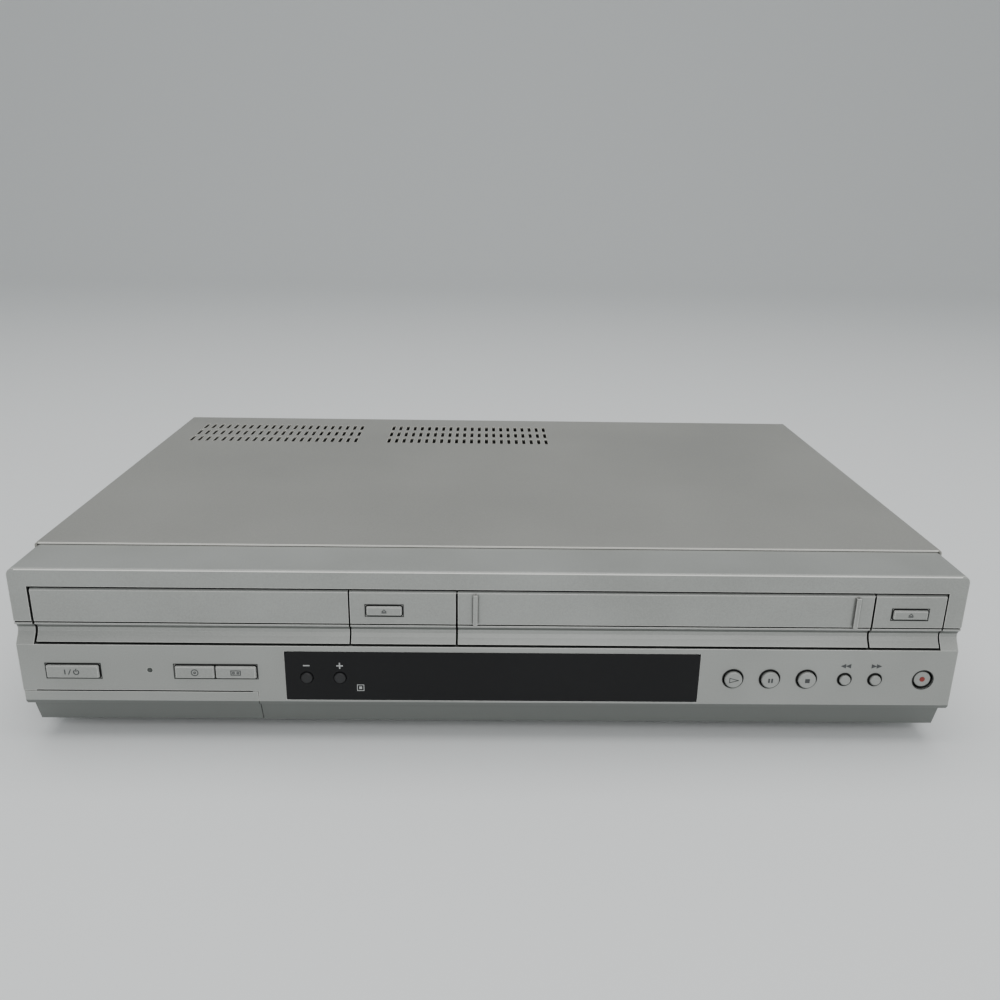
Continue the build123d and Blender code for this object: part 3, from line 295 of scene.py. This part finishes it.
inks = {
    "grey": grainedMaterial("greyPrint", greyInk),
    "pale": grainedMaterial("palePrint", paleInk),
    "bare": grainedMaterial("bareCutEdge", edgeHighlightInk),
    "gapShade": grainedMaterial("slotShadePrint", slotShadeInk),
    "red": grainedMaterial("redPrint", redInk),
    "yellow": grainedMaterial("yellowAbs", yellowAbs),
    "white": grainedMaterial("whiteAbs", whiteAbs),
    "redAbs": grainedMaterial("redAbs", redAbs),
}
for part in frame["record"]["subparts"]:
    for materialSlot in frame["nodes"][part["node"]].material_slots:
        materialSlot.material = finishes[part["material_slot"]]

bodyOf = {node: body for body, nodes in frame["record"]["behaviour"]["bodies"].items() for node in nodes}


def middle(node):
    low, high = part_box(node)
    return [(low[i] + high[i]) / 2 / mm for i in range(3)]


def finishPiece(obj, material, body):
    obj.data.materials.append(material)
    bpy.context.collection.objects.link(obj)
    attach(obj, body)
    return obj


markDepth = 0.10  # how far a printed mark stands out, in mm


def rectangle(x, z, wide, high):
    return [(x - wide / 2, z - high / 2), (x + wide / 2, z - high / 2), (x + wide / 2, z + high / 2),
            (x - wide / 2, z + high / 2)]


def triangle(x, z, wide, high):  # points to +X, or to -X where wide is negative
    return [(x - wide / 2, z - high / 2), (x + wide / 2, z), (x - wide / 2, z + high / 2)]


def arcBand(x, z, radius, line, start, end, steps=28):
    strips = []
    for step in range(steps):
        a = math.radians(start + (end - start) * step / steps)
        b = math.radians(start + (end - start) * (step + 1) / steps)
        inner = radius - line
        strips.append([(x + inner * math.cos(a), z + inner * math.sin(a)),
                       (x + radius * math.cos(a), z + radius * math.sin(a)),
                       (x + radius * math.cos(b), z + radius * math.sin(b)),
                       (x + inner * math.cos(b), z + inner * math.sin(b))])
    return strips


def printMark(name, outlines, at, material, body):
    # at is (x, y, z) of the mark's middle on the surface, in mm; outlines are (x, z) about it
    mesh = bpy.data.meshes.new(name)
    shape = bmesh.new()
    for outline in outlines:
        turned = sum(a[0] * b[1] - b[0] * a[1] for a, b in zip(outline, outline[1:] + outline[:1]))
        points = outline if turned > 0 else outline[::-1]
        nearer, further = (at[1] - markDepth) * mm, (at[1] + markDepth) * mm
        front = [shape.verts.new(((at[0] + x) * mm, nearer, (at[2] + z) * mm)) for x, z in points]
        back = [shape.verts.new(((at[0] + x) * mm, further, (at[2] + z) * mm)) for x, z in points]
        shape.faces.new(front)
        shape.faces.new(back[::-1])
        for i in range(len(points)):
            j = (i + 1) % len(points)
            shape.faces.new((front[i], back[i], back[j], front[j]))
    bmesh.ops.remove_doubles(shape, verts=shape.verts, dist=1e-7)
    bmesh.ops.recalc_face_normals(shape, faces=shape.faces)
    shape.to_mesh(mesh)
    shape.free()
    return finishPiece(bpy.data.objects.new(name, mesh), material, body)


def strokes(points, line):  # a closed outline drawn with a line of this thickness
    strips = []
    for (ax, az), (bx, bz) in zip(points, points[1:] + points[:1]):
        long = math.hypot(bx - ax, bz - az)
        ux, uz = (bx - ax) / long * line / 2, (bz - az) / long * line / 2
        strips.append([(ax - ux + uz, az - uz - ux), (bx + ux + uz, bz + uz - ux),
                       (bx + ux - uz, bz + uz + ux), (ax - ux - uz, az - uz + ux)])
    return strips


# Where the signs beside the buttons are printed, in mm.
signPlaces = {
    "windAbove": 6.9, "channelAbove": 6.2,  # above the middle of their button
    "sensor": (-60.2, 29.0),
    "windowProud": 0.2,  # the window's face stands this far in front of the fascia
}

ejectMark = strokes([(-1.0, -0.2), (1.0, -0.2), (0.0, 0.9)], 0.22)
ejectMark += [rectangle(0, -0.75, 2.2, 0.3)]
standbyMark = [rectangle(-3.4, 0, 0.45, 2.4), [(-2.1, -1.3), (-1.7, -1.3), (-0.5, 1.3), (-0.9, 1.3)]]
standbyMark += arcBand(1.7, -0.1, 1.35, 0.42, 125, 415)
standbyMark += [rectangle(1.7, 0.9, 0.42, 1.5)]
playMark = strokes([(-1.9, -1.15), (2.2, 0.0), (-1.9, 1.15)], 0.26)
pauseMark = [rectangle(-0.7, 0, 0.75, 2.1), rectangle(0.7, 0, 0.75, 2.1)]
stopMark = [rectangle(0, 0, 2.1, 2.0)]
rewindMark = [triangle(-1.3, 0, -2.4, 2.2), triangle(1.1, 0, -2.4, 2.2)]
forwardMark = [triangle(-1.1, 0, 2.4, 2.2), triangle(1.3, 0, 2.4, 2.2)]
discMark = arcBand(0, 0, 1.7, 0.35, 0, 360) + arcBand(0, 0, 0.6, 0.3, 0, 360, 16)
tapeMark = [rectangle(0, 1.1, 4.6, 0.3), rectangle(0, -1.1, 4.6, 0.3), rectangle(-2.15, 0, 0.3, 2.2),
            rectangle(2.15, 0, 0.3, 2.2)]
tapeMark += arcBand(-1.0, 0, 0.6, 0.3, 0, 360, 16) + arcBand(1.0, 0, 0.6, 0.3, 0, 360, 16)
minusMark = [rectangle(0, 0, 3.0, 0.6)]
plusMark = [rectangle(0, 0, 3.0, 0.6), rectangle(0, 0.925, 0.6, 1.25), rectangle(0, -0.925, 0.6, 1.25)]
sensorMark = [rectangle(0, 1.5, 3.3, 0.3), rectangle(0, -1.5, 3.3, 0.3), rectangle(-1.5, 0, 0.3, 2.7),
              rectangle(1.5, 0, 0.3, 2.7), rectangle(0, 0, 1.3, 1.3)]


def markButton(node, outlines, ink):
    centre = middle(node)
    at = (centre[0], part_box(node)[0][1] / mm, centre[2])
    printMark(node + "_mark", outlines, at, inks[ink], bodyOf[node])


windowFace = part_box("display_window")[0][1] / mm
fasciaFace = windowFace + signPlaces["windowProud"]


def markPanel(name, outlines, x, z, ink, face):
    printMark(name, outlines, (x, face, z), inks[ink], "casing")


markButton("play_button", playMark, "grey")
markButton("pause_button", pauseMark, "grey")
markButton("stop_button", stopMark, "grey")
markButton("power_button", standbyMark, "grey")
markButton("disc_select_button", discMark, "grey")
markButton("tape_select_button", tapeMark, "grey")
markButton("disc_eject_button", ejectMark, "grey")
markButton("tape_eject_button", ejectMark, "grey")
markButton("record_button", arcBand(0, 0, 1.25, 1.25, 0, 360), "red")
for node, outlines in (("rewind_button", rewindMark), ("fast_forward_button", forwardMark)):
    place = middle(node)
    markPanel(node + "_sign", outlines, place[0], place[2] + signPlaces["windAbove"], "grey", fasciaFace)
for node, outlines in (("channel_down_button", minusMark), ("channel_up_button", plusMark)):
    place = middle(node)
    markPanel(node + "_sign", outlines, place[0], place[2] + signPlaces["channelAbove"], "pale", windowFace)
markPanel("sensor_sign", sensorMark, *signPlaces["sensor"], "pale", windowFace)

# Painted shade: a dark line round the slot of each button stands for the shadow in the gap: radii of the
# round slots, sides of the others.
slotRims = {
    "line": 0.34,
    "round": {"play_button": 4.7, "pause_button": 4.7, "stop_button": 4.7, "record_button": 4.75,
              "rewind_button": 3.15, "fast_forward_button": 3.15},
    "square": {"power_button": (24.7, 7.4), "disc_eject_button": (16.9, 5.5),
               "tape_eject_button": (16.7, 5.5)},
    "selectPair": (37.8, 7.1),
    "trayFrontThick": 4.0,
}
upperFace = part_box("tray_front")[1][1] / mm - slotRims["trayFrontThick"]
for node, radius in slotRims["round"].items():
    place = middle(node)
    rim = arcBand(0, 0, radius + slotRims["line"], slotRims["line"], 0, 360)
    markPanel(node + "_rim", rim, place[0], place[2], "gapShade", fasciaFace)


def slotRim(name, x, z, sides, face):
    corners = rectangle(0, 0, sides[0] + slotRims["line"], sides[1] + slotRims["line"])
    markPanel(name, strokes(corners, slotRims["line"]), x, z, "gapShade", face)


for node, sides in slotRims["square"].items():
    place = middle(node)
    face = fasciaFace if node == "power_button" else upperFace
    slotRim(node + "_rim", place[0], place[2], sides, face)
discSelect, tapeSelect = middle("disc_select_button"), middle("tape_select_button")
pairMiddle = (discSelect[0] + tapeSelect[0]) / 2
slotRim("select_rim", pairMiddle, discSelect[2], slotRims["selectPair"], fasciaFace)

# Painted highlights over the front, in mm: pale lines along the cover's front edge and along the front edge
# of the brow, where light catches them. Each stops short of the ends by half of what is left off.
highlightLines = {
    "cover": {"below": 0.38, "high": 0.66, "leftOff": 4.0},
    "brow": {"below": 0.85, "high": 0.5, "leftOff": 7.4},
}


def highlightLine(name, node, face, line):
    low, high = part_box(node)
    wide = (high[0] - low[0]) / mm - line["leftOff"]
    printMark(name, [rectangle(0, -line["below"], wide, line["high"])], (0, face, high[2] / mm),
              inks["bare"], "casing")


highlightLine("cover_edge_highlight", "top_cover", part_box("top_cover")[0][1] / mm, highlightLines["cover"])
highlightLine("brow_edge_highlight", "front_bezel", upperFace, highlightLines["brow"])
print("marks printed")


def turnedPiece(name, profile, place, axis, material, body, segments=48):
    # profile is (distance along the axis, radius) in mm, closed on itself, about place
    mesh = bpy.data.meshes.new(name)
    shape = bmesh.new()
    rings = []
    for step in range(segments):
        angle = 2 * math.pi * step / segments
        ring = []
        for along, radius in profile:
            spot = Vector((radius * math.cos(angle), along, radius * math.sin(angle)))
            if axis == "Z":
                spot = Vector((spot.x, spot.z, spot.y))
            ring.append(shape.verts.new((Vector(place) + spot) * mm))
        rings.append(ring)
    for step in range(segments):
        here, there = rings[step], rings[(step + 1) % segments]
        for i in range(len(profile)):
            j = (i + 1) % len(profile)
            shape.faces.new((here[i], here[j], there[j], there[i]))
    bmesh.ops.recalc_face_normals(shape, faces=shape.faces)
    shape.to_mesh(mesh)
    shape.free()
    for polygon in mesh.polygons:
        polygon.use_smooth = True
    obj = bpy.data.objects.new(name, mesh)
    edges = obj.modifiers.new("edges", "EDGE_SPLIT")
    edges.split_angle = math.radians(35)
    return finishPiece(obj, material, body)


sockets = {
    "phonoAcross": (-132, -114, -96), "phonoUp": (27.0, 43.0), "phonoSleeve": 4.15,
    "antennaAcross": (-76, -54), "antennaUp": 34.0, "antennaNut": 6.4,
    "frontAcross": (-190, -172, -154), "frontUp": 18.5, "frontDeep": 9.5,
    "collar": 5.3, "collarThick": 0.8, "free": 0.05,
    "shoulder": 0.62,  # the jacks' own shoulders stand this far out of their panel
    "nutInner": 4.75, "nutFar": 2.6, "nutSides": 6,
    "threadStart": 3.0, "threadPitch": 0.9, "threadDeep": 0.18, "threadRoot": 4.72, "threadInner": 4.66,
    "threadEndFree": 0.6,
}
ringColours = ["yellow", "white", "redAbs"]
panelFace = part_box("rear_panel")[1][1] / mm
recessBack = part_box("front_jacks")[0][1] / mm + sockets["frontDeep"]


def collar(name, x, y, z, inward, colour):
    thick, outer = sockets["collarThick"], sockets["collar"]
    inner = sockets["phonoSleeve"] + sockets["free"]
    near, far = (-thick, 0) if inward else (0, thick)
    profile = [(near, inner), (near, outer), (far, outer), (far, inner)]
    turnedPiece(name, profile, (x, y, z), "Y", inks[colour], "casing")


for column, x in enumerate(sockets["phonoAcross"]):
    for row, z in enumerate(sockets["phonoUp"]):
        collar("rear_phono_ring_%d_%d" % (column, row), x, panelFace + sockets["shoulder"], z, False,
               ringColours[column])
for column, x in enumerate(sockets["frontAcross"]):
    collar("front_phono_ring_%d" % column, x, recessBack - sockets["shoulder"], sockets["frontUp"], True,
           ringColours[column])

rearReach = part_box("tuner_box")[1][1] / mm
for index, x in enumerate(sockets["antennaAcross"]):
    # The nut sits against the panel, and thread ridges stand round the sleeve beyond it.
    near, far = sockets["shoulder"], sockets["nutFar"]
    inner, outer = sockets["nutInner"], sockets["antennaNut"]
    nut = [(near, inner), (near, outer), (far, outer), (far, inner)]
    turnedPiece("antenna_nut_%d" % index, nut, (x, panelFace, sockets["antennaUp"]), "Y",
                finishes["jack_metal"], "casing", sockets["nutSides"])
    first, pitch, root = sockets["threadStart"], sockets["threadPitch"], sockets["threadRoot"]
    thread = []
    turns = int((rearReach - panelFace - first - sockets["threadEndFree"]) / pitch)
    for turn in range(turns):
        start = first + turn * pitch
        thread += [(start, root), (start + pitch / 2, root + sockets["threadDeep"]), (start + pitch, root)]
    thread += [(first + turns * pitch, sockets["threadInner"]), (first, sockets["threadInner"])]
    turnedPiece("antenna_thread_%d" % index, thread, (x, panelFace, sockets["antennaUp"]), "Y",
                finishes["jack_metal"], "casing")

# Painted shade: the cross recesses in the heads of the cover screws are drawn as grey crosses, for their
# shadow.
screws = {"across": (-190, 0, 190), "up": 81.0, "slotWide": 0.8, "slotLong": 3.4, "armFromMiddle": 1.05}
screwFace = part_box("cover_screws")[1][1] / mm
for index, x in enumerate(screws["across"]):
    wide, arm = screws["slotWide"], (screws["slotLong"] - screws["slotWide"]) / 2
    cross = [rectangle(0, 0, screws["slotLong"], wide), rectangle(0, screws["armFromMiddle"], wide, arm),
             rectangle(0, -screws["armFromMiddle"], wide, arm)]
    printMark("screw_recess_%d" % index, cross, (x, screwFace, screws["up"]), inks["grey"], "casing")

# Shrink sleeves on the main board's capacitors, with a bare top: place, radius and height of each can.
capacitors = {
    "cans": ((-136, 81.3, 8, 26), (-118, 81.3, 8, 26), (-102, 73.3, 5, 16), (-136, 63.3, 5, 14)),
    "boardTop": 14.6, "foot": 0.3, "film": 0.25, "free": 0.02, "rim": 0.6, "lid": 0.05,
}
for index, (x, y, radius, high) in enumerate(capacitors["cans"]):
    low = capacitors["boardTop"] + capacitors["foot"]
    top = capacitors["boardTop"] + high
    free, outer, rim = capacitors["free"], radius + capacitors["film"], radius - capacitors["rim"]
    sleeve = [(low, radius + free), (low, outer), (top, outer), (top + capacitors["foot"], rim),
              (top + capacitors["lid"], rim), (top + free, radius)]
    turnedPiece("capacitor_sleeve_%d" % index, sleeve, (x, y, 0), "Z", finishes["black_plastic"], "casing")
print("sockets, screws and sleeves made")

stageLook = {
    "floor": "#EDEFEF", "floorRough": 0.7, "floorMetres": 8.0, "bendStart": 1.9, "bendMetres": 1.1,
    "bendSteps": 18, "wallMetres": 4.5,
    "world": "#CDD0D1", "worldStrength": 0.69,
}


def addFloor(look):
    # The table top runs back level and then sweeps up into a pale wall.
    half = look["floorMetres"] / 2
    line = [(-half, 0.0), (look["bendStart"], 0.0)]
    for step in range(1, look["bendSteps"] + 1):
        angle = math.radians(90 / look["bendSteps"] * step)
        line.append((look["bendStart"] + look["bendMetres"] * math.sin(angle),
                     look["bendMetres"] * (1 - math.cos(angle))))
    line.append((look["bendStart"] + look["bendMetres"], look["wallMetres"]))
    points = [(x, y, z) for y, z in line for x in (-half, half)]
    faces = [(2 * i, 2 * i + 1, 2 * i + 3, 2 * i + 2) for i in range(len(line) - 1)]
    mesh = bpy.data.meshes.new("tableTop")
    mesh.from_pydata(points, [], faces)
    for polygon in mesh.polygons:
        polygon.use_smooth = True
    obj = bpy.data.objects.new("tableTop", mesh)
    material, tree = newMaterial("paleTable")
    shader = addNode(tree, "ShaderNodeBsdfPrincipled", {"Base Color": hexColour(look["floor"]),
                                                        "Roughness": look["floorRough"]})
    addNode(tree, "ShaderNodeOutputMaterial", None, {"Surface": (shader, 0)})
    mesh.materials.append(material)
    bpy.context.collection.objects.link(obj)
    world = bpy.data.worlds.new("paleRoom")
    world.use_nodes = True
    world.node_tree.nodes["Background"].inputs["Color"].default_value = hexColour(look["world"])
    world.node_tree.nodes["Background"].inputs["Strength"].default_value = look["worldStrength"]
    bpy.context.scene.world = world


# name: place in metres, wide, deep, power in watts
softBoxes = {
    "overhead": ((0.0, 0.0, 1.5), 1.8, 1.2, 13.8),
    "frontFill": ((0.25, -1.5, 0.95), 1.6, 0.9, 11.2),
}
aimPoint = (0, 0, 0.04)


def addLights(boxes):
    for name, (place, wide, deep, power) in boxes.items():
        data = bpy.data.lights.new(name, "AREA")
        data.shape = "RECTANGLE"
        data.size = wide
        data.size_y = deep
        data.energy = power
        obj = bpy.data.objects.new(name, data)
        turn = (Vector(aimPoint) - Vector(place)).to_track_quat("-Z", "Y")
        obj.matrix_world = Matrix.Translation(Vector(place)) @ turn.to_matrix().to_4x4()
        bpy.context.collection.objects.link(obj)


addFloor(stageLook)
addLights(softBoxes)
print("floor and lights placed")
